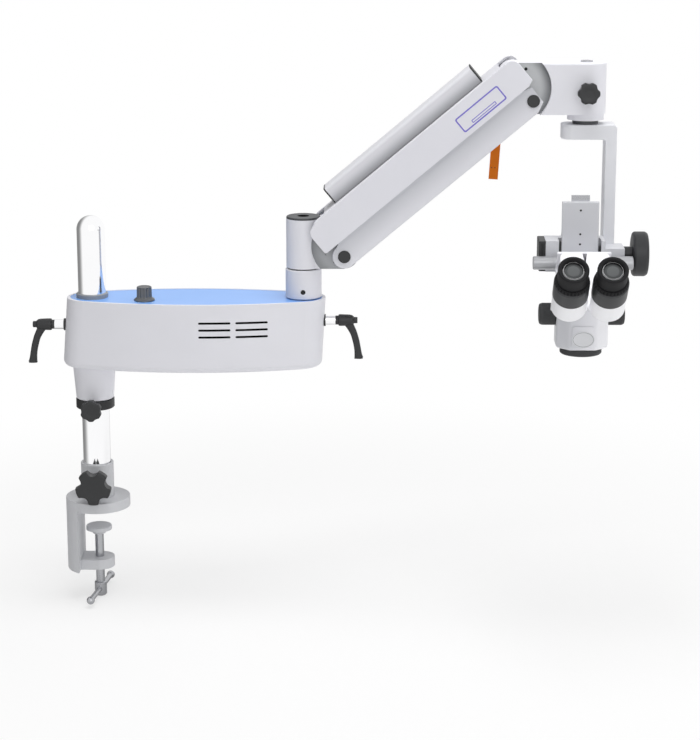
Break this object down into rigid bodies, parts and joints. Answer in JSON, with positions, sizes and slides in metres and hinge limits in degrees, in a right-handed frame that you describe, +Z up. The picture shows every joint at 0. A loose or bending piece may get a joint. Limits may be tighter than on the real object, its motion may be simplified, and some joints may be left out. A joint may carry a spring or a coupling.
{
  "type": "surgical microscope",
  "caption": "Table-clamped binocular surgical microscope: chrome post, swinging power housing, balanced parallelogram arm, cranked bracket and rack-focus drive.",
  "frame": {"origin": "on the post's axis, at the underside of the clamp's flange, where it rests on the table top", "axes": "+Z up along the post, +X along the housing towards the microscope head, +Y away from the user"},
  "size_m": [0.8922, 0.3268, 0.8015],
  "materials": {
    "clamp_grey": "satin",
    "ring_black": "satin",
    "sleeve_grey": "satin",
    "screw_steel": "bright",
    "post_chrome": "polished",
    "knob_black": "fine grain",
    "case_white": "gloss",
    "panel_blue": "satin",
    "trim_grey": "satin",
    "cast_alloy": "as cast",
    "bush_brass": "machined",
    "unit_grey": "matt",
    "arm_white": "gloss",
    "lock_orange": "gloss",
    "drive_white": "gloss",
    "lens_glass": "coated",
    "eye_black": "matt",
    "dial_grey": "turned and dark anodised",
    "trim_dark": "satin",
    "crank_grey": "satin",
    "slide_silver": "anodised",
    "axle_satin": "satin",
    "wheel_charcoal": "fine grain",
    "barrel_charcoal": "satin"
  },
  "bodies": {
    "clamp": {"clamp_frame": "clamp_grey", "post_sleeve": "sleeve_grey"},
    "clamp_pad": {"clamp_pad": "clamp_grey"},
    "clamp_screw": {"clamp_screw": "screw_steel"},
    "tommy_bar": {"tommy_bar": "screw_steel"},
    "post_lock_knob": {"post_lock_knob": "knob_black"},
    "post": {"post": "post_chrome"},
    "stop_ring": {"stop_ring": "ring_black"},
    "ring_knob": {"ring_knob": "knob_black"},
    "housing": {"collar": "case_white", "housing_shell": "case_white", "top_panel": "panel_blue", "post_ferrule": "trim_grey", "arm_beam": "cast_alloy", "bushes": "bush_brass", "power_unit": "unit_grey", "heat_sink": "cast_alloy", "lever_base_rings": "knob_black"},
    "brightness_knob": {"brightness_knob": "dial_grey"},
    "left_lever": {"left_lever": "knob_black", "left_lever_stud": "post_chrome"},
    "right_lever": {"right_lever": "knob_black", "right_lever_stud": "post_chrome"},
    "column": {"column_ring": "arm_white", "arm_root": "arm_white", "column_trim": "trim_dark"},
    "lower_link": {"lower_shell": "arm_white", "pivot_pins": "screw_steel", "pivot_caps": "knob_black"},
    "upper_link": {"upper_shell": "arm_white", "link_bars": "screw_steel", "spring_cover": "arm_white", "cover_end_caps": "knob_black", "gas_spring": "post_chrome"},
    "arm_lock_lever": {"arm_lock_lever": "lock_orange"},
    "head_block": {"head_block": "arm_white"},
    "head_lock_knob": {"head_lock_knob": "knob_black"},
    "crank": {"crank_spindle": "screw_steel", "swivel_ring": "trim_dark", "crank_bracket": "crank_grey", "focus_housing": "drive_white", "focus_trim": "knob_black"},
    "focus_knob": {"focus_knob": "wheel_charcoal", "pinion_shaft": "screw_steel"},
    "focus_slide": {"slide_plate": "slide_silver", "slide_rack": "screw_steel", "tilt_axle": "axle_satin"},
    "scope_head": {"head_body": "drive_white", "binocular_base": "drive_white", "objective_mount": "knob_black", "objective_lens": "lens_glass"},
    "magnification_changer": {"magnification_changer": "wheel_charcoal"},
    "left_ocular": {"left_prism_box": "drive_white", "left_eyepiece": "barrel_charcoal"},
    "right_ocular": {"right_prism_box": "drive_white", "right_eyepiece": "barrel_charcoal"},
    "left_dioptre": {"left_dioptre_ring": "eye_black", "left_eye_lens": "lens_glass"},
    "right_dioptre": {"right_dioptre_ring": "eye_black", "right_eye_lens": "lens_glass"}
  },
  "joints": [
    {"name": "clamp_pad_travel", "type": "slide", "parent": "clamp", "child": "clamp_pad", "axis": [0, 0, 1], "range_m": [-0.027, 0.018]},
    {"name": "clamp_screw_turn", "type": "hinge", "parent": "clamp_pad", "child": "clamp_screw", "pos_m": [0, 0, -0.09], "axis": [0, 0, 1], "range_deg": [-3240, 2160]},
    {"name": "tommy_bar_slide", "type": "slide", "parent": "clamp_screw", "child": "tommy_bar", "axis": [0.1392, 0.9903, 0], "range_m": [-0.043, 0.043]},
    {"name": "post_lock_turn", "type": "hinge", "parent": "clamp", "child": "post_lock_knob", "pos_m": [0, -0.048, 0.042], "axis": [0, -1, 0], "range_deg": [0, 360]},
    {"name": "post_lift", "type": "slide", "parent": "clamp", "child": "post", "axis": [0, 0, 1], "range_m": [0, 0.045]},
    {"name": "stop_ring_lift", "type": "slide", "parent": "post", "child": "stop_ring", "axis": [0, 0, 1], "range_m": [-0.065, 0.08]},
    {"name": "ring_knob_turn", "type": "hinge", "parent": "stop_ring", "child": "ring_knob", "pos_m": [0, -0.046, 0.158], "axis": [0, -1, 0], "range_deg": [0, 360]},
    {"name": "housing_swing", "type": "hinge", "parent": "stop_ring", "child": "housing", "pos_m": [0, 0, 0.2], "axis": [0, 0, 1], "range_deg": [-180, 180]},
    {"name": "brightness_turn", "type": "hinge", "parent": "housing", "child": "brightness_knob", "pos_m": [0.078, -0.024, 0.32], "axis": [0, 0, 1], "range_deg": [-135, 135]},
    {"name": "left_lever_turn", "type": "hinge", "parent": "housing", "child": "left_lever", "pos_m": [-0.06, 0, 0.2744], "axis": [1, 0, 0], "range_deg": [-75, 75]},
    {"name": "right_lever_turn", "type": "hinge", "parent": "housing", "child": "right_lever", "pos_m": [0.36, 0, 0.2817], "axis": [1, 0, 0], "range_deg": [-75, 75]},
    {"name": "column_swing", "type": "hinge", "parent": "housing", "child": "column", "pos_m": [0.3065, 0, 0.3], "axis": [0, 0, 1], "range_deg": [-120, 120]},
    {"name": "lower_link_lift", "type": "hinge", "parent": "column", "child": "lower_link", "pos_m": [0.3658, 0, 0.3816], "axis": [0, -1, 0], "range_deg": [-40, 25]},
    {"name": "upper_link_lift", "type": "hinge", "parent": "column", "child": "upper_link", "pos_m": [0.33816, 0, 0.41454], "axis": [0, -1, 0], "range_deg": [-41, 26]},
    {"name": "head_block_level", "type": "hinge", "parent": "lower_link", "child": "head_block", "pos_m": [0.63085, 0, 0.604], "axis": [0, -1, 0], "range_deg": [-26, 41]},
    {"name": "arm_lock_turn", "type": "hinge", "parent": "lower_link", "child": "arm_lock_lever", "pos_m": [0.58197, 0, 0.55646], "axis": [0, 1, 0], "range_deg": [-15, 15]},
    {"name": "head_lock_turn", "type": "hinge", "parent": "head_block", "child": "head_lock_knob", "pos_m": [0.70705, -0.044, 0.616], "axis": [0, -1, 0], "range_deg": [0, 360]},
    {"name": "crank_swing", "type": "hinge", "parent": "head_block", "child": "crank", "pos_m": [0.70705, 0, 0.6], "axis": [0, 0, 1], "range_deg": [-135, 135]},
    {"name": "focus_travel", "type": "slide", "parent": "crank", "child": "focus_slide", "axis": [0, 0, 1], "range_m": [-0.04, 0.01]},
    {"name": "focus_turn", "type": "hinge", "parent": "crank", "child": "focus_knob", "pos_m": [0.76, -0.038, 0.388], "axis": [1, 0, 0], "range_deg": [-100, 385]},
    {"name": "head_tilt", "type": "hinge", "parent": "focus_slide", "child": "scope_head", "pos_m": [0.6995, -0.0685, 0.3806], "axis": [1, 0, 0], "range_deg": [-30, 30]},
    {"name": "magnification_turn", "type": "hinge", "parent": "scope_head", "child": "magnification_changer", "pos_m": [0.6995, -0.097, 0.3136], "axis": [1, 0, 0], "continuous": true},
    {"name": "left_ocular_swing", "type": "hinge", "parent": "scope_head", "child": "left_ocular", "pos_m": [0.6875, -0.11926, 0.37725], "axis": [0, 0.7071, -0.7071], "range_deg": [0, 9]},
    {"name": "right_ocular_swing", "type": "hinge", "parent": "scope_head", "child": "right_ocular", "pos_m": [0.7115, -0.11926, 0.37725], "axis": [0, -0.7071, 0.7071], "range_deg": [0, 9.5]},
    {"name": "left_dioptre_turn", "type": "hinge", "parent": "left_ocular", "child": "left_dioptre", "pos_m": [0.6733, -0.23593, 0.39493], "axis": [0, -0.7071, 0.7071], "range_deg": [-90, 90]},
    {"name": "right_dioptre_turn", "type": "hinge", "parent": "right_ocular", "child": "right_dioptre", "pos_m": [0.7257, -0.23593, 0.39493], "axis": [0, -0.7071, 0.7071], "range_deg": [-90, 90]}
  ],
  "couplings": [
    {"joint": "clamp_pad_travel", "follows": "clamp_screw_turn", "m_per_rad": 0.00047746},
    {"joint": "upper_link_lift", "follows": "lower_link_lift", "ratio": 1},
    {"joint": "head_block_level", "follows": "lower_link_lift", "ratio": -1},
    {"joint": "focus_turn", "follows": "focus_travel", "rad_per_m": -166.67},
    {"joint": "right_ocular_swing", "follows": "left_ocular_swing", "ratio": 1}
  ]
}
